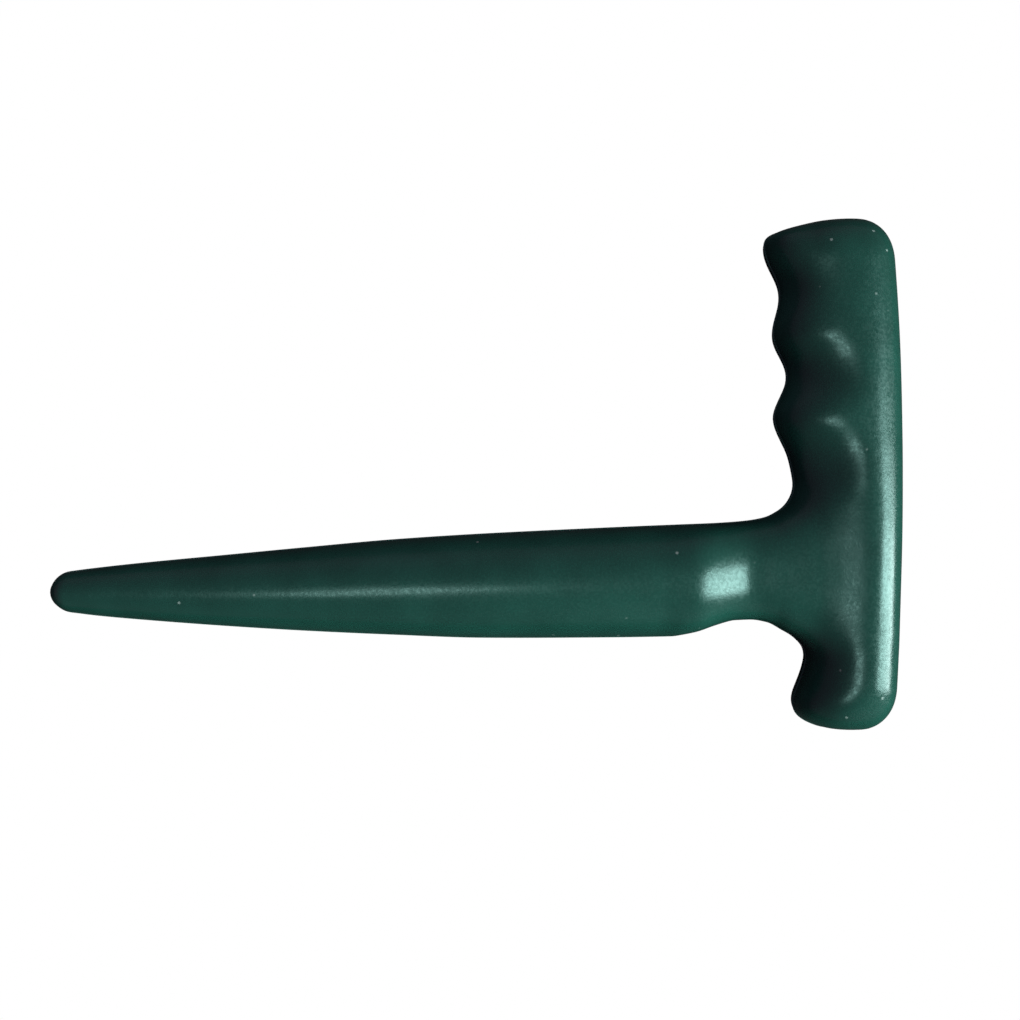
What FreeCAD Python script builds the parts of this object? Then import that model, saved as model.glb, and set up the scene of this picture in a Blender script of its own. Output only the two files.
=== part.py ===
"""Hand dibber: a round spike on an off-centre T-handle, moulded as two hollow shells.

The two shells meet on the parting plane through the spike and the handle. Ribs stiffen them, pegs
on the back shell fit sockets in the front shell, and a bead of welded plastic closes the joint all
round.

While a piece is built it is in the tool frame: X from the tip to the palm, Y towards the long
arm of the handle, Z out of the parting plane, and the origin on the tip. Each finished piece is
then moved to the part's own frame, with the back of the handle on Z = 0 and the origin under the
middle of the bounding box.
"""
import FreeCAD
import Part
import math
import os

# Spike, a round bar that bulges a little from its blunt nose to its shoulder.
NOSE_LENGTH = 5.0
NOSE_RADIUS = 4.3
NOSE_RISE = 0.45
NOSE_RISE_LENGTH = 16.0
SHOULDER_X = 146.0
SHOULDER_RADIUS = 12.9
SHOULDER_RISE = 0.25
TAPER_POWER = 1.85

# Neck behind the shoulder, which widens into the handle: (x, low y, high y, half thickness).
NECK = [
    (152.0, -11.6, 13.3, 12.2),
    (158.0, -9.9, 13.5, 10.7),
    (164.0, -9.2, 13.9, 9.6),
    (169.0, -9.7, 14.9, 10.0),
    (173.0, -11.2, 16.8, 10.5),
    (176.2, -14.0, 21.2, 11.0),
    (179.5, -16.6, 24.6, 11.4),
    (183.5, -18.3, 26.6, 11.7),
    (188.0, -19.0, 27.5, 11.8),
]

# Handle, along Y. The palm side is one long arc.
HANDLE_LOW = -35.4
HANDLE_HIGH = 84.2
PALM_CREST_X = 199.9
PALM_CREST_Y = 35.0
PALM_ARC_RADIUS = 700.0
HALF_THICKNESS = 13.5
CROWN_SHARE = 0.58         # where the section is thickest, from finger side to palm side
PALM_POWER = 2.9           # how square the palm half of a section is
RIDGE_POWER = 2.2          # the same for the finger half, at a ridge
GROOVE_POWER = 1.9         # and at the bottom of a finger groove

# Finger side of the handle: (y, x, depth of the finger groove from 0 to 1).
FINGER_SIDE = [
    (-35.4, 174.2, 0.0),
    (-29.5, 174.4, 0.2),
    (-22.0, 176.6, 1.0),
    (-15.0, 177.9, 0.7),
    (2.0, 178.4, 0.5),
    (18.0, 176.0, 0.8),
    (28.5, 175.0, 1.0),
    (38.5, 171.6, 0.0),
    (48.0, 174.8, 1.0),
    (58.3, 171.8, 0.0),
    (68.0, 173.2, 1.0),
    (78.0, 169.6, 0.0),
    (84.2, 169.0, 0.0),
]

# Rounding of the handle's ends: depth along Y on the palm side, finger side and faces.
TOP_ROUNDS = (7.0, 3.6, 6.0)
BOTTOM_ROUNDS = (7.0, 6.5, 6.0)
TOP_MIDDLE_X = 187.0
BOTTOM_MIDDLE_X = 186.0
END_POWER = 2.2
END_STATIONS = 5

# Moulding
WALL = 2.8
RIB_THICKNESS = 1.8
SOLID_NOSE = 20.0          # the nose is solid as far as this
SPIKE_RIBS_X = (48.0, 76.0, 104.0, 132.0, 160.0)
HANDLE_RIBS_Y = (-19.0, 28.5, 48.0, 68.0)
HANDLE_RIBS_START_X = 166.0
PEG_PLACES = ((62.0, 0.0), (118.0, 0.0), (186.0, -6.0), (186.0, 58.0))
PEG_RADIUS = 1.6
PEG_BOSS_RADIUS = 3.2
PEG_HEIGHT = 3.0
PEG_CLEARANCE = 0.1

# Weld bead, which fills a shallow groove all round the outside of the joint.
BEAD_HALF_WIDTH = 0.45
BEAD_DEPTH = 0.6
BEAD_PROUD = 0.2

SECTION_SPANS = 20         # spans of the curve over a section
NOSE_STATIONS = 5          # sections round the nose
SPIKE_STATIONS = 12        # sections from the nose to the shoulder
HANDLE_STATIONS = 26       # sections between the two rounded ends
OVERLAP = 1.0              # how far cutting posts reach past the parting plane
REACH = 1000.0             # much longer than the tool, for cutting blocks
FLAT = 1e-6                # a height that counts as on the parting plane


def smooth(table, at, column=1):
    """The value of a column of a table at a place, on a curve without overshoot."""
    last = len(table) - 1
    if at <= table[0][0]:
        return table[0][column]
    if at >= table[last][0]:
        return table[last][column]
    i = max(k for k in range(last) if table[k][0] <= at)

    def gradient(k):
        return (table[k + 1][column] - table[k][column]) / (table[k + 1][0] - table[k][0])

    def slope(k):
        if k in (0, last) or gradient(k - 1) * gradient(k) <= 0:
            return 0.0
        return 2 / (1 / gradient(k - 1) + 1 / gradient(k))

    width = table[i + 1][0] - table[i][0]
    t = (at - table[i][0]) / width
    start, end = table[i][column], table[i + 1][column]
    bend = width * (slope(i) * t * (1 - t) ** 2 - slope(i + 1) * t * t * (1 - t))
    return start + (end - start) * t * t * (3 - 2 * t) + bend


def spike_radius(x):
    """Radius of the spike behind its nose."""
    left = max(0.0, 1 - x / SHOULDER_X)
    return SHOULDER_RADIUS - (SHOULDER_RADIUS - NOSE_RADIUS) * left ** TAPER_POWER


def spike_centre(x):
    """Y of the middle of the spike, which is a little off the axis at both ends."""
    return NOSE_RISE * math.exp(-x / NOSE_RISE_LENGTH) + SHOULDER_RISE * (x / SHOULDER_X) ** 4


def palm_x(y):
    return PALM_CREST_X - (y - PALM_CREST_Y) ** 2 / (2 * PALM_ARC_RADIUS)


def rounded(depth, length, power=END_POWER):
    """Share of the full size at a depth from a rounded end, from 0 at the end to 1."""
    left = max(0.0, 1 - depth / length)
    return (1 - left ** power) ** (1 / power)


def section_turns():
    """Angles over a section, from the parting plane across the top to the other side."""
    return [math.pi * k / SECTION_SPANS for k in range(SECTION_SPANS + 1)]


def section_curve(points):
    """A curve over the points, which starts and ends on the parting plane."""
    for end in (points[0], points[-1]):
        end.z = 0.0
    curve = Part.BSplineCurve()
    curve.interpolate(Points=points, Parameters=[k / SECTION_SPANS for k in range(SECTION_SPANS + 1)])
    return Part.Wire(curve.toShape())


def half_body(curves):
    """The solid between the parting plane and a smooth surface over the curves."""
    skin = Part.makeLoft(curves, False, False).Faces[0]
    arches = []
    rim = []
    for edge in skin.Edges:
        middle = edge.valueAt((edge.FirstParameter + edge.LastParameter) / 2)
        side = rim if abs(middle.z) < FLAT else arches
        side.append(edge)
    chords = [Part.makeLine(arch.Vertexes[0].Point, arch.Vertexes[-1].Point) for arch in arches]
    faces = [Part.Face(Part.Wire([arch, chord])) for arch, chord in zip(arches, chords)]
    faces.append(Part.Face(Part.Wire(Part.sortEdges(rim + chords)[0])))
    shell = Part.Shell(faces + [skin])
    shell.sewShape()
    return Part.Solid(shell)


def power_of(value, power):
    return math.copysign(abs(value) ** (2 / power), value)


def spike_section(x, low, high, half):
    """A round or oval section across the spike."""
    middle = (low + high) / 2
    points = []
    for turn in section_turns():
        y = middle + (high - low) / 2 * math.cos(turn)
        points.append(FreeCAD.Vector(x, y, half * math.sin(turn)))
    return section_curve(points)


def round_section(x, radius):
    middle = spike_centre(x)
    return spike_section(x, middle - radius, middle + radius, radius)


def spike_half(inset):
    """Half the spike and its neck, with every surface moved inwards by inset."""
    curves = []
    nose = NOSE_LENGTH - inset
    nose_radius = spike_radius(NOSE_LENGTH) - inset
    for step in range(1, NOSE_STATIONS):
        turn = math.pi / 2 * (step / NOSE_STATIONS)
        x = NOSE_LENGTH - nose * math.cos(turn)
        radius = nose_radius * math.sin(turn)
        curves.append(round_section(x, radius))
    for step in range(SPIKE_STATIONS + 1):
        x = NOSE_LENGTH + (SHOULDER_X - NOSE_LENGTH) * step / SPIKE_STATIONS
        curves.append(round_section(x, spike_radius(x) - inset))
    for x, low, high, half in NECK:
        curves.append(spike_section(x, low + inset, high - inset, half - inset))
    return half_body(curves)


def handle_section(y, finger, palm, half, finger_power):
    """A section across the handle, squarer on its palm half than in a finger groove."""
    crown = finger + CROWN_SHARE * (palm - finger)
    points = []
    for turn in section_turns():
        palm_half = math.cos(turn) >= 0
        reach = palm - crown if palm_half else crown - finger
        power = PALM_POWER if palm_half else finger_power
        x = crown + reach * power_of(math.cos(turn), power)
        points.append(FreeCAD.Vector(x, y, half * power_of(math.sin(turn), power)))
    return section_curve(points)


def handle_curve(y, inset):
    """The handle's section at a height y, rounded off near the two ends."""
    groove = smooth(FINGER_SIDE, y, 2)
    finger = smooth(FINGER_SIDE, y) + inset
    palm = palm_x(y) - inset
    half = HALF_THICKNESS - inset
    low, high = HANDLE_LOW + inset, HANDLE_HIGH - inset
    if y - low < high - y:
        depth, rounds, middle = y - low, BOTTOM_ROUNDS, BOTTOM_MIDDLE_X
    else:
        depth, rounds, middle = high - y, TOP_ROUNDS, TOP_MIDDLE_X
    palm_round, finger_round, face_round = rounds
    palm = middle + (palm - middle) * rounded(depth, palm_round)
    finger = middle - (middle - finger) * rounded(depth, finger_round)
    half *= rounded(depth, face_round)
    finger_power = RIDGE_POWER + (GROOVE_POWER - RIDGE_POWER) * groove
    return handle_section(y, finger, palm, half, finger_power)


def handle_half(inset):
    """Half the handle, with every surface moved inwards by inset."""
    low, high = HANDLE_LOW + inset, HANDLE_HIGH - inset
    longest = max(TOP_ROUNDS + BOTTOM_ROUNDS)
    depths = []
    for step in range(1, END_STATIONS + 1):
        depths.append(longest * (1 - math.cos(math.pi / 2 * step / END_STATIONS)))
    spacing = (high - low - 2 * longest) / HANDLE_STATIONS
    heights = [low + depth for depth in depths]
    heights += [low + longest + spacing * k for k in range(1, HANDLE_STATIONS)]
    heights += [high - depth for depth in reversed(depths)]
    return half_body([handle_curve(y, inset) for y in heights])


def half_tool(inset):
    """Half the outside of the tool as one solid, moved inwards by inset."""
    return spike_half(inset).fuse(handle_half(inset)).removeSplitter()


def block(x_low, x_high, y_low, y_high):
    """An upright block between four limits, right through the tool."""
    corner = FreeCAD.Vector(x_low, y_low, -REACH / 2)
    return Part.makeBox(x_high - x_low, y_high - y_low, REACH, corner)


def layer(thickness):
    """A slab on the parting plane, over the whole tool."""
    return Part.makeBox(REACH, REACH, thickness, FreeCAD.Vector(-REACH / 2, -REACH / 2, 0))


def post(x, y, radius, low, high):
    """A round post that stands across the parting plane."""
    foot = FreeCAD.Vector(x, y, low)
    return Part.makeCylinder(radius, high - low, foot, FreeCAD.Vector(0, 0, 1))


def bays():
    """The hollow in half the tool, as separate bays between its ribs."""
    space = half_tool(WALL).common(block(SOLID_NOSE, REACH, -REACH / 2, REACH / 2))
    gap = RIB_THICKNESS / 2
    for x in SPIKE_RIBS_X:
        space = space.cut(block(x - gap, x + gap, -SHOULDER_X, SHOULDER_X))
    for y in HANDLE_RIBS_Y:
        space = space.cut(block(HANDLE_RIBS_START_X, REACH, y - gap, y + gap))
    for x, y in PEG_PLACES:
        space = space.cut(post(x, y, PEG_BOSS_RADIUS, -OVERLAP, REACH))
    return space.Solids


def blank_shell():
    """Half the tool above the parting plane: its walls, ribs and peg bosses."""
    shell = half_tool(0)
    for bay in bays():
        shell = shell.cut(bay)
    bead_groove = layer(BEAD_HALF_WIDTH).cut(half_tool(BEAD_DEPTH))
    return shell.cut(bead_groove)


def mirrored(shape):
    """The same shape on the other side of the parting plane."""
    return shape.mirror(FreeCAD.Vector(0, 0, 0), FreeCAD.Vector(0, 0, 1))


def front_shell(blank):
    """The shell above the parting plane, with its peg sockets."""
    for x, y in PEG_PLACES:
        blank = blank.cut(post(x, y, PEG_RADIUS + PEG_CLEARANCE, -OVERLAP, PEG_HEIGHT + PEG_CLEARANCE))
    return blank


def back_shell(blank):
    """The shell below the parting plane, with its pegs."""
    shell = mirrored(blank)
    for x, y in PEG_PLACES:
        shell = shell.fuse(post(x, y, PEG_RADIUS, -OVERLAP, PEG_HEIGHT))
    return shell


def weld_seam():
    """The bead of welded plastic in the groove, standing a little proud of the shells."""
    half = half_tool(-BEAD_PROUD).common(layer(BEAD_HALF_WIDTH)).cut(half_tool(BEAD_DEPTH))
    return half.fuse(mirrored(half)).removeSplitter()


blank = blank_shell()
pieces = {
    "front_shell": front_shell(blank),
    "back_shell": back_shell(blank),
    "weld_seam": weld_seam(),
}
box = pieces["weld_seam"].optimalBoundingBox(False)
to_frame = FreeCAD.Vector(-box.Center.x, -box.Center.y, HALF_THICKNESS)
os.makedirs("parts", exist_ok=True)
for name, shape in pieces.items():
    print(name, shape.isValid(), len(shape.Solids), round(shape.Volume), flush=True)
    shape = shape.Solids[0]
    shape.translate(to_frame)
    shape.exportStep(f"parts/{name}.step")
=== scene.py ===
"""Looks of the hand dibber: two plastic shells and the weld bead between them.

Shapes are worked out in millimetres in the tool frame (X from the tip to the palm, Y towards the
long arm, Z out of the parting plane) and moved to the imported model's frame at the end. The outside
is the zero level of one field that is close to a signed distance. It is meshed on a grid and then
pulled exactly onto the surface.
"""

import math

import bmesh
import bpy
import numpy as np
import openvdb
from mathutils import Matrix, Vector


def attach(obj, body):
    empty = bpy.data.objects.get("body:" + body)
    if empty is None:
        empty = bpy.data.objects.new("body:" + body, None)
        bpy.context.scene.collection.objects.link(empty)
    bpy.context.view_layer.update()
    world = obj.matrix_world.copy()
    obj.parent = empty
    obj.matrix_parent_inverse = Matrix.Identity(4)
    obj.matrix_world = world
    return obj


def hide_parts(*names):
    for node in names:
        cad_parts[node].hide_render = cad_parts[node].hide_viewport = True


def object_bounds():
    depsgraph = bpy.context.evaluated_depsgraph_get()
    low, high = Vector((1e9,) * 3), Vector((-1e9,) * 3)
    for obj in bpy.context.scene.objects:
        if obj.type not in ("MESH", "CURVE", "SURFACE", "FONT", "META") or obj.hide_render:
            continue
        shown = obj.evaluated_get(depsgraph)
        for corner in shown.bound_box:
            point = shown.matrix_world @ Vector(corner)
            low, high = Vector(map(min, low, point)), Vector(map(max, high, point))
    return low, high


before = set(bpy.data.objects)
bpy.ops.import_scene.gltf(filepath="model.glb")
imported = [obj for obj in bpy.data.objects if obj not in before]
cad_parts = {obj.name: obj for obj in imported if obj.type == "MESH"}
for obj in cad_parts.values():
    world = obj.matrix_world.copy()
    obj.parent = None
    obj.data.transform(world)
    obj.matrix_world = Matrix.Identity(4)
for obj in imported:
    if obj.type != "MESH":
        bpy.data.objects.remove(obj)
cad_low, cad_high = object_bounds()
centre = (cad_low + cad_high) / 2

MM = 0.001

# Spike and neck: (x, low y, high y, half thickness before the waist is taken off).
SPIKE = [
    (-3.0, -3.1, 4.1, 3.6),
    (5.0, -4.25, 5.15, 4.7),
    (11.0, -5.1, 5.8, 5.45),
    (21.0, -6.2, 6.7, 6.45),
    (41.0, -8.1, 8.2, 8.15),
    (61.0, -9.7, 9.7, 9.7),
    (81.0, -11.0, 11.1, 11.0),
    (101.0, -12.1, 12.0, 12.0),
    (121.0, -12.5, 12.6, 12.5),
    (141.0, -12.7, 13.1, 12.7),
    (146.0, -12.7, 13.2, 12.7),
    (151.0, -11.9, 13.3, 12.7),
    (156.0, -10.3, 13.4, 12.7),
    (161.0, -9.2, 13.6, 12.7),
    (165.0, -9.1, 13.9, 12.9),
    (169.0, -9.8, 14.6, 13.4),
    (173.0, -12.0, 16.6, 13.9),
    (178.0, -14.6, 20.0, 14.5),
    (182.0, -16.0, 22.0, 14.8),
    (188.0, -17.0, 23.0, 14.6),
    (194.0, -17.5, 23.5, 13.8),
]
NOSE_LENGTH = 4.5
NECK_X = (142.0, 156.0)         # where the round spike turns into the neck
NECK_SQUARENESS = 0.7           # added there to the power of 2 of a round section
NECK_DROP = 1.6                 # how far the crown of the neck is below its middle
NECK_WAIST_X = (149.5, 165.0)
NECK_WAIST = 3.4                # how much thinner the neck is than the spike
SPIKE_END_X = 193.0             # the spike ends inside the handle
SPIKE_END_BLEND = 5.0
JUNCTION_BLEND = 5.0

# Handle: (y, x of the finger side, place of the crown from there to the palm as a share, power of
# the section on the palm side, power on the finger side).
HANDLE = [
    (-35.4, 174.4, 0.60, 2.5, 2.1),
    (-29.5, 174.4, 0.60, 2.5, 2.1),
    (-15.0, 178.0, 0.58, 2.3, 2.0),
    (2.0, 178.6, 0.61, 2.15, 1.7),
    (18.0, 176.8, 0.64, 2.2, 1.9),
    (28.5, 174.4, 0.65, 2.3, 2.1),
    (38.5, 171.7, 0.66, 2.4, 2.15),
    (58.3, 171.9, 0.66, 2.5, 2.15),
    (78.0, 170.2, 0.66, 2.5, 2.15),
    (84.2, 169.3, 0.66, 2.5, 2.15),
]
HALF_THICKNESS = 13.2
PALM_CREST_X = 200.2
PALM_CREST_Y = 35.0
PALM_ARC_RADIUS = 700.0

# Finger grooves: (y on the finger side, depth there, y on the face, depth there).
GROOVES = [
    (68.0, 2.2, 68.0, 0.7),
    (48.0, 3.1, 47.5, 2.8),
    (28.5, 0.7, 27.0, 2.7),
    (-22.0, 1.0, -22.0, 1.4),
]
GROOVE_PITCH = 20.0
GROOVE_FACE_Z = (3.0, 12.0)     # where a groove turns from the finger side onto the face
GROOVE_FADE_X = (176.0, 190.5)  # where it runs out towards the palm

# Ends of the handle, which fall away with the square of the distance from their middle.
TOP_Y = 83.8
BOTTOM_Y = -35.1
END_MIDDLE_X = 187.5
TOP_CURVE = 0.0095
BOTTOM_CURVE = 0.004
END_CROWN = 0.010
END_BLEND_X = (169.0, 180.0)    # where the blends below turn from the first to the second
TOP_BLENDS = (2.6, 9.0)
BOTTOM_BLENDS = (4.4, 9.5)

# Weld bead round the rim of the shells
BEAD_HALF_WIDTH = 0.5
BEAD_PROUD = 0.25
BEAD_DEPTH = 0.5                # of its middle line, inside the shells
BEAD_STEPS = 12

CAD_PALM_X = 200.1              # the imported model's highest X and Y in the tool frame
CAD_TOP_Y = 84.06

# Meshing. The grid is even about Z = 0, which puts a ring of mesh points on the parting plane.
GRID_STEP = 0.9
GRID_LOW_X = -3.0
GRID_LOW_Y = -38.7
GRID_COUNTS = (230, 141, 38)
FIELD_LIMIT = 3.0               # largest distance kept, in grid steps
GRADIENT_STEP = 0.02
PULL_ROUNDS = 4
RELAX_ROUNDS = 6
FLAT = 0.1                      # a height that counts as on the parting plane, before flattening

# Smallest values, which keep divisions away from zero
LEAST_SIZE = 1e-6
LEAST_SECTION_SLOPE = 1e-12
LEAST_FIELD_SLOPE = 1e-4

# Linear colours
GREEN = (0.005, 0.040, 0.029)
# Green plastic of the bead, made lighter than the shells' green as a painted highlight along the seam
WELD_GREEN_PAINTED_HIGHLIGHT = (0.012, 0.07, 0.052)
SPECK = (0.10, 0.17, 0.15)
GLOSS_TINT = (0.49, 0.87, 0.81)
AMBIENT = (0.22, 0.07, 0.13)
DARK = (0.02, 0.02, 0.02)
WHITE = (1.0, 1.0, 1.0)

# Plastic: texture scales per metre of object space, bump depths in metres
GREEN_ROUGHNESS = 0.27
WELD_ROUGHNESS = 0.3
ROUGHNESS_SPREAD = 0.07
ROUGHNESS_SCALE = 1400
MOTTLE_SCALE = 90
MOTTLE_DARKEST = 0.82           # share of the colour left in the darkest patches
SPECK_SCALE = 130
SPECK_EDGE = (0.03, 0.055)      # a speck fades out between these distances from its middle
GRAIN_SCALE = 1700
GRAIN_STRENGTH = 0.3
GRAIN_DEPTH = 0.00006
DENT_SCALE = 260
DENT_STRENGTH = 0.25
DENT_DEPTH = 0.0002

# Lights: (name, tilts from straight above towards X and Y in degrees, the point that it faces,
# width and length, watts, colour, whether it lights the surface, whether it makes glints).
LIGHTS = [
    ("key", (57, -14), (0.05, 0, 0.02), (0.26, 0.8), 14.5, WHITE, True, True),
    ("overhead", (-14, -8), (-0.03, 0, 0.02), (0.13, 0.3), 1.15, WHITE, False, True),
    ("fill", (60, -58), (0, 0, 0.02), (1.2, 0.5), 15.0, WHITE, True, False),
    ("back_fill", (-30, 70), (0, 0, 0.02), (1.2, 0.5), 3.5, (1.0, 0.6, 0.75), True, False),
]
LIGHT_DISTANCE = 0.9

# Camera and floor, in metres and degrees
FLOOR_HALF = 3.0
CAMERA_X = 0.0087
CAMERA_Y = -0.0067
CAMERA_HEIGHT = 0.24            # above the parting plane
CAMERA_TURN = -1.15
FRAME_WIDTH = 0.2412            # what the picture spans on the parting plane
SENSOR_WIDTH = 36.0
CLIP_START = 0.005


def smooth(table, at, column):
    """The values of a table's column at places, on a curve without overshoot."""
    xs = np.array([row[0] for row in table], float)
    ys = np.array([row[column] for row in table], float)
    gradient = np.diff(ys) / np.diff(xs)
    before, after = gradient[:-1], gradient[1:]
    same_way = before * after > 0
    bend = np.where(same_way, 2 * before * after / np.where(same_way, before + after, 1), 0)
    slope = np.concatenate((gradient[:1], bend, gradient[-1:]))
    at = np.clip(at, xs[0], xs[-1])
    i = np.clip(np.searchsorted(xs, at) - 1, 0, len(xs) - 2)
    width = xs[i + 1] - xs[i]
    t = (at - xs[i]) / width
    curve = width * (slope[i] * t * (1 - t) ** 2 - slope[i + 1] * t * t * (1 - t))
    return ys[i] + (ys[i + 1] - ys[i]) * t * t * (3 - 2 * t) + curve


def ease(value, start, end):
    """0 before start, 1 after end and a smooth step between them."""
    t = np.clip((value - start) / (end - start), 0, 1)
    return t * t * (3 - 2 * t)


def blend_union(a, b, reach):
    """The field of both shapes together, with a fillet where they meet."""
    h = np.maximum(reach - np.abs(a - b), 0) / reach
    return np.minimum(a, b) - h * h * reach / 4


def blend_cut(a, b, reach):
    """The field of what both shapes share, with a rounding at the edge."""
    h = np.maximum(reach - np.abs(a - b), 0) / reach
    return np.maximum(a, b) + h * h * reach / 4


def superellipse(parts, power):
    """Field of a rounded section or body, from (distance from its middle, half size) of each axis."""
    shares = [np.abs(distance) / half for distance, half in parts]
    size = np.maximum(sum(share ** power for share in shares) ** (1 / power), LEAST_SIZE)
    steep = LEAST_SECTION_SLOPE
    for share, (_, half) in zip(shares, parts):
        steep = steep + ((share / size) ** (power - 1) / half) ** 2
    return (size - 1) / np.sqrt(steep)


def spike_field(x, y, z):
    """Field of the spike and the neck."""
    low = smooth(SPIKE, x, 1)
    high = smooth(SPIKE, x, 2)
    half = smooth(SPIKE, x, 3) - NECK_WAIST * ease(x, *NECK_WAIST_X)
    neck = ease(x, *NECK_X)
    crown = (low + high) / 2 - NECK_DROP * neck
    reach = np.where(y > crown, high - crown, crown - low)
    before_nose = np.minimum(x - NOSE_LENGTH, 0)
    parts = [(y - crown, reach), (z, half), (before_nose, NOSE_LENGTH)]
    side = superellipse(parts, 2 + NECK_SQUARENESS * neck)
    return blend_cut(side, x - SPIKE_END_X, SPIKE_END_BLEND)


def groove_depth(y, z):
    """How deep the finger grooves are, on the finger side and on the face."""
    depth = np.zeros_like(y)
    face = ease(z, *GROOVE_FACE_Z)
    for side_y, on_side, face_y, on_face in GROOVES:
        for middle, share in ((side_y, on_side * (1 - face)), (face_y, on_face * face)):
            off = np.clip((y - middle) / (GROOVE_PITCH / 2), -1, 1)
            depth += share * np.cos(off * math.pi / 2) ** 2
    return depth


def handle_field(x, y, z):
    """Field of the handle with its finger grooves and rounded ends."""
    finger = smooth(HANDLE, y, 1)
    palm = PALM_CREST_X - (y - PALM_CREST_Y) ** 2 / (2 * PALM_ARC_RADIUS)
    crown = finger + smooth(HANDLE, y, 2) * (palm - finger)
    across = x - crown
    reach = np.where(across > 0, palm - crown, crown - finger)
    power = np.where(across > 0, smooth(HANDLE, y, 3), smooth(HANDLE, y, 4))
    side = superellipse([(across, reach), (z, HALF_THICKNESS)], power)
    side += groove_depth(y, z) * (1 - ease(x, *GROOVE_FADE_X))
    from_middle = (x - END_MIDDLE_X) ** 2
    crowned = END_CROWN * z * z
    top = y - (TOP_Y - TOP_CURVE * from_middle - crowned)
    bottom = BOTTOM_Y + BOTTOM_CURVE * from_middle + crowned - y
    to_palm = ease(x, *END_BLEND_X)
    for end, (finger_blend, palm_blend) in ((top, TOP_BLENDS), (bottom, BOTTOM_BLENDS)):
        side = blend_cut(side, end, finger_blend + (palm_blend - finger_blend) * to_palm)
    return side


def tool_field(points):
    """Roughly the signed distance from the outside of the tool, in millimetres."""
    x, y, z = points[..., 0], points[..., 1], np.abs(points[..., 2])
    return blend_union(spike_field(x, y, z), handle_field(x, y, z), JUNCTION_BLEND)


def field_gradient(points):
    """The field's slope along each axis."""
    columns = []
    for axis in range(3):
        shift = np.zeros(3)
        shift[axis] = GRADIENT_STEP
        change = tool_field(points + shift) - tool_field(points - shift)
        columns.append(change / (2 * GRADIENT_STEP))
    return np.stack(columns, -1)


def onto_surface(points, flat):
    """The points moved onto the surface, with the flat ones kept on the parting plane."""
    for _ in range(PULL_ROUNDS):
        gradient = field_gradient(points)
        gradient[flat, 2] = 0
        steep = np.maximum((gradient ** 2).sum(1), LEAST_FIELD_SLOPE)
        points = points - gradient * (tool_field(points) / steep)[:, None]
    return points


def surface_grid():
    """Points and quads of the upper half of the surface, and which points are on its rim."""
    low = (GRID_LOW_X, GRID_LOW_Y, -GRID_STEP * (GRID_COUNTS[2] - 1) / 2)
    axes = [low[k] + GRID_STEP * np.arange(GRID_COUNTS[k]) for k in range(3)]
    lattice = np.stack(np.meshgrid(*axes, indexing="ij"), -1)
    values = np.clip(tool_field(lattice) / GRID_STEP, -FIELD_LIMIT, FIELD_LIMIT)
    grid = openvdb.FloatGrid(background=FIELD_LIMIT)
    grid.copyFromArray(values.astype(np.float32))
    points, quads = grid.convertToQuads(isovalue=0.0)
    points = points.astype(float) * GRID_STEP + low
    flat = np.abs(points[:, 2]) < FLAT
    points[flat, 2] = 0
    upper = (points[quads][:, :, 2] >= 0).all(1)
    quads = quads[upper].astype(int)
    used = np.unique(quads)
    number = np.full(len(points), -1)
    number[used] = np.arange(len(used))
    return points[used], number[quads], flat[used]


def sides_of(quads):
    """The pairs of point numbers along the four sides of every quad."""
    return np.concatenate([quads[:, [k, (k + 1) % 4]] for k in range(4)])


def relaxed(points, quads, flat):
    """The points evened out over the surface. Those on the rim only slide along it."""
    edges = np.unique(np.sort(sides_of(quads), 1), axis=0)
    rim_edges = edges[flat[edges].all(1)]
    both = np.concatenate([edges, edges[:, ::-1]])
    rim_both = np.concatenate([rim_edges, rim_edges[:, ::-1]])
    links = np.concatenate([both[~flat[both[:, 0]]], rim_both])
    count = np.bincount(links[:, 0], minlength=len(points))[:, None]
    points = onto_surface(points, flat)
    for _ in range(RELAX_ROUNDS):
        total = np.zeros_like(points)
        for axis in range(3):
            total[:, axis] = np.bincount(links[:, 0], points[links[:, 1], axis], len(points))
        average = total / np.maximum(count, 1)
        points = np.where(count > 0, (points + average) / 2, points)
        points[flat, 2] = 0
        points = onto_surface(points, flat)
    return points


def rim_loop(quads, flat):
    """The point numbers round the rim on the parting plane, in order."""
    rim = {tuple(side) for side in sides_of(quads) if flat[side].all()}
    after = {first: second for first, second in rim if (second, first) not in rim}
    start = min(after)
    loop = [start]
    while after[loop[-1]] != start:
        loop.append(after[loop[-1]])
    return loop


def bead_mesh(rim):
    """A low rounded bead along the rim."""
    ahead = np.roll(rim, -1, 0) - np.roll(rim, 1, 0)
    side = np.stack([ahead[:, 1], -ahead[:, 0], np.zeros(len(rim))], 1)
    side /= np.linalg.norm(side, axis=1)[:, None]
    rings = []
    for k in range(BEAD_STEPS):
        turn = 2 * math.pi * k / BEAD_STEPS
        out = (BEAD_PROUD + BEAD_DEPTH) * math.cos(turn) - BEAD_DEPTH
        rings.append(rim + side * out + np.array([0, 0, BEAD_HALF_WIDTH * math.sin(turn)]))
    count = len(rim)
    faces = []
    for k in range(BEAD_STEPS):
        ring = k * count
        next_ring = (k + 1) % BEAD_STEPS * count
        for i in range(count):
            j = (i + 1) % count
            faces.append((ring + i, ring + j, next_ring + j, next_ring + i))
    return np.concatenate(rings), faces


def to_frame(points):
    """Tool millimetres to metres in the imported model's frame."""
    corner = np.array([cad_high.x, cad_high.y, centre.z])
    return points * MM + (corner - np.array([CAD_PALM_X, CAD_TOP_Y, 0.0]) * MM)


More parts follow.
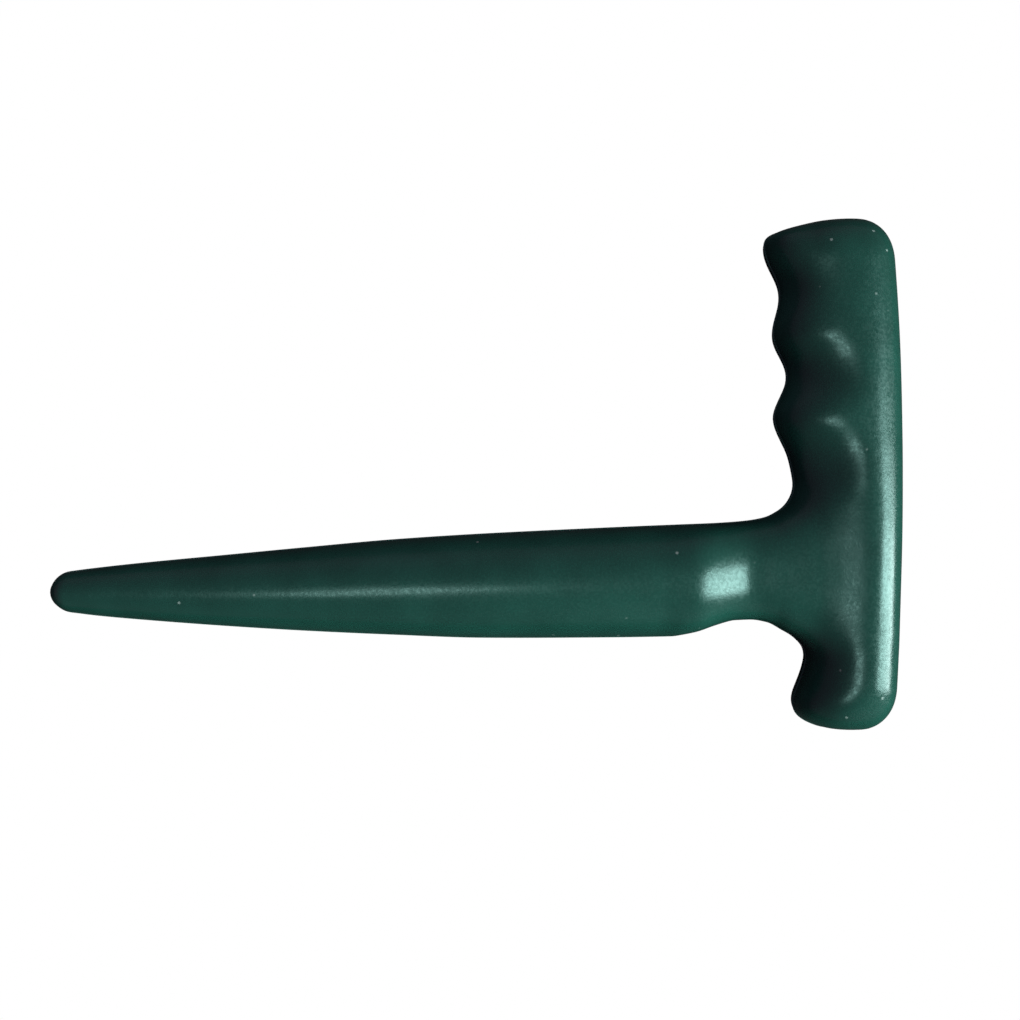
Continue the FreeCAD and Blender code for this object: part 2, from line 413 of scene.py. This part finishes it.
def add_piece(name, points, faces, material, replaced):
    """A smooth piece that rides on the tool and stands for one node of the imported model."""
    mesh = bpy.data.meshes.new(name)
    mesh.from_pydata(to_frame(points).tolist(), [], faces)
    mesh.validate()
    body = bmesh.new()
    body.from_mesh(mesh)
    bmesh.ops.recalc_face_normals(body, faces=body.faces)
    body.to_mesh(mesh)
    body.free()
    mesh.materials.append(material)
    mesh.polygons.foreach_set("use_smooth", [True] * len(mesh.polygons))
    piece = bpy.data.objects.new(name, mesh)
    bpy.context.scene.collection.objects.link(piece)
    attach(piece, "root")
    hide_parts(replaced)


def satin_plastic(name, colour, roughness):
    """A moulded plastic with a fine grain, a faint mottling, small dents and pale specks."""
    material = bpy.data.materials.new(name)
    material.use_nodes = True
    nodes, links = material.node_tree.nodes, material.node_tree.links
    shader = nodes["Principled BSDF"]
    shader.inputs["Specular Tint"].default_value = (*GLOSS_TINT, 1)
    place = nodes.new("ShaderNodeTexCoord").outputs["Object"]

    def noise(scale, detail):
        texture = nodes.new("ShaderNodeTexNoise")
        texture.inputs["Scale"].default_value = scale
        texture.inputs["Detail"].default_value = detail
        links.new(place, texture.inputs["Vector"])
        return texture.outputs["Fac"]

    def spread(value, low, high, new_low, new_high):
        node = nodes.new("ShaderNodeMapRange")
        for socket, number in zip(node.inputs[1:5], (low, high, new_low, new_high)):
            socket.default_value = number
        links.new(value, node.inputs[0])
        return node.outputs[0]

    def mixed(share, first, second):
        """A colour mixed into another one, which is a colour or another node's output."""
        node = nodes.new("ShaderNodeMix")
        node.data_type = "RGBA"
        links.new(share, node.inputs[0])
        node.inputs[6].default_value = (*first, 1)
        if isinstance(second, bpy.types.NodeSocket):
            links.new(second, node.inputs[7])
        else:
            node.inputs[7].default_value = (*second, 1)
        return node.outputs[2]

    def bumps(height, strength, depth):
        node = nodes.new("ShaderNodeBump")
        node.inputs["Strength"].default_value = strength
        node.inputs["Distance"].default_value = depth
        links.new(height, node.inputs["Height"])
        return node

    cells = nodes.new("ShaderNodeTexVoronoi")
    cells.inputs["Scale"].default_value = SPECK_SCALE
    links.new(place, cells.inputs["Vector"])
    off_speck = spread(cells.outputs["Distance"], *SPECK_EDGE, 0, 1)
    darker = tuple(MOTTLE_DARKEST * part for part in colour)
    mottled = mixed(spread(noise(MOTTLE_SCALE, 4), 0.35, 0.65, 0, 1), darker, colour)
    links.new(mixed(off_speck, SPECK, mottled), shader.inputs["Base Color"])
    smoothest = roughness - ROUGHNESS_SPREAD
    roughest = roughness + ROUGHNESS_SPREAD
    uneven = spread(noise(ROUGHNESS_SCALE, 2), 0.3, 0.7, smoothest, roughest)
    links.new(uneven, shader.inputs["Roughness"])
    fine = bumps(noise(GRAIN_SCALE, 3), GRAIN_STRENGTH, GRAIN_DEPTH)
    dents = bumps(noise(DENT_SCALE, 2), DENT_STRENGTH, DENT_DEPTH)
    links.new(fine.outputs[0], dents.inputs["Normal"])
    links.new(dents.outputs[0], shader.inputs["Normal"])
    return material


def add_tool():
    """Both shells, each closed by a flat cap on the parting plane, and the bead round their rim."""
    points, quads, flat = surface_grid()
    points = relaxed(points, quads, flat)
    rim = rim_loop(quads, flat)
    green = satin_plastic("green_plastic", GREEN, GREEN_ROUGHNESS)
    # The bead's material is lighter green than the shells', a painted highlight along the seam
    weld = satin_plastic("weld_plastic", WELD_GREEN_PAINTED_HIGHLIGHT, WELD_ROUGHNESS)
    faces = quads.tolist() + [rim[::-1]]
    mirrored = points * np.array([1, 1, -1])
    bead_points, bead_faces = bead_mesh(points[rim])
    add_piece("front_shell_surface", points, faces, green, "front_shell")
    add_piece("back_shell_surface", mirrored, faces, green, "back_shell")
    add_piece("weld_bead", bead_points, bead_faces, weld, "weld_seam")


def seen_and_unseen(nodes, links, seen, unseen, output):
    """One shader for the camera's own rays, and another for all other light."""
    path = nodes.new("ShaderNodeLightPath")
    mix = nodes.new("ShaderNodeMixShader")
    links.new(path.outputs["Is Camera Ray"], mix.inputs[0])
    links.new(unseen.outputs[0], mix.inputs[1])
    links.new(seen.outputs[0], mix.inputs[2])
    links.new(mix.outputs[0], output.inputs["Surface"])


def add_floor():
    """A plain white floor that bounces almost no light back onto the tool."""
    mesh = bpy.data.meshes.new("floor")
    corners = [(-1, -1), (1, -1), (1, 1), (-1, 1)]
    mesh.from_pydata([(FLOOR_HALF * x, FLOOR_HALF * y, 0) for x, y in corners], [], [(0, 1, 2, 3)])
    floor = bpy.data.objects.new("floor", mesh)
    floor.location.z = cad_low.z
    bpy.context.scene.collection.objects.link(floor)
    pale = bpy.data.materials.new("pale_floor")
    pale.use_nodes = True
    nodes, links = pale.node_tree.nodes, pale.node_tree.links
    nodes.clear()
    output = nodes.new("ShaderNodeOutputMaterial")
    glow = nodes.new("ShaderNodeEmission")
    glow.inputs["Color"].default_value = (*WHITE, 1)
    dull = nodes.new("ShaderNodeBsdfDiffuse")
    dull.inputs["Color"].default_value = (*DARK, 1)
    seen_and_unseen(nodes, links, glow, dull, output)
    mesh.materials.append(pale)


def add_world():
    """A plain white backdrop, and a dim light from all round."""
    world = bpy.data.worlds.new("studio")
    bpy.context.scene.world = world
    world.use_nodes = True
    nodes, links = world.node_tree.nodes, world.node_tree.links
    ambient = nodes["Background"]
    ambient.inputs["Color"].default_value = (*AMBIENT, 1)
    backdrop = nodes.new("ShaderNodeBackground")
    backdrop.inputs["Color"].default_value = (*WHITE, 1)
    seen_and_unseen(nodes, links, backdrop, ambient, nodes["World Output"])


def add_light(name, tilts, target, size, power, colour, lights_surface, makes_glints):
    """A soft rectangular light that faces a point on the tool."""
    tilt_x, tilt_y = (math.tan(math.radians(tilt)) for tilt in tilts)
    place = Vector((tilt_x, tilt_y, 1)).normalized() * LIGHT_DISTANCE
    lamp = bpy.data.lights.new(name, "AREA")
    lamp.shape = "RECTANGLE"
    lamp.size, lamp.size_y = size
    lamp.energy = power
    lamp.color = colour
    holder = bpy.data.objects.new(name, lamp)
    holder.location = place
    holder.rotation_euler = (Vector(target) - place).to_track_quat("-Z", "Y").to_euler()
    holder.visible_diffuse = lights_surface
    holder.visible_glossy = makes_glints
    bpy.context.scene.collection.objects.link(holder)


def add_camera():
    """A camera straight above the tool, turned a little."""
    data = bpy.data.cameras.new("camera")
    data.sensor_width = SENSOR_WIDTH
    data.lens = SENSOR_WIDTH * CAMERA_HEIGHT / FRAME_WIDTH
    data.clip_start = CLIP_START
    camera = bpy.data.objects.new("camera", data)
    camera.location = centre + Vector((CAMERA_X, CAMERA_Y, CAMERA_HEIGHT))
    camera.rotation_euler = (0, 0, math.radians(CAMERA_TURN))
    bpy.context.scene.collection.objects.link(camera)
    bpy.context.scene.camera = camera
    bpy.context.scene.view_settings.view_transform = "Standard"


add_tool()
add_floor()
add_world()
for light in LIGHTS:
    add_light(*light)
add_camera()
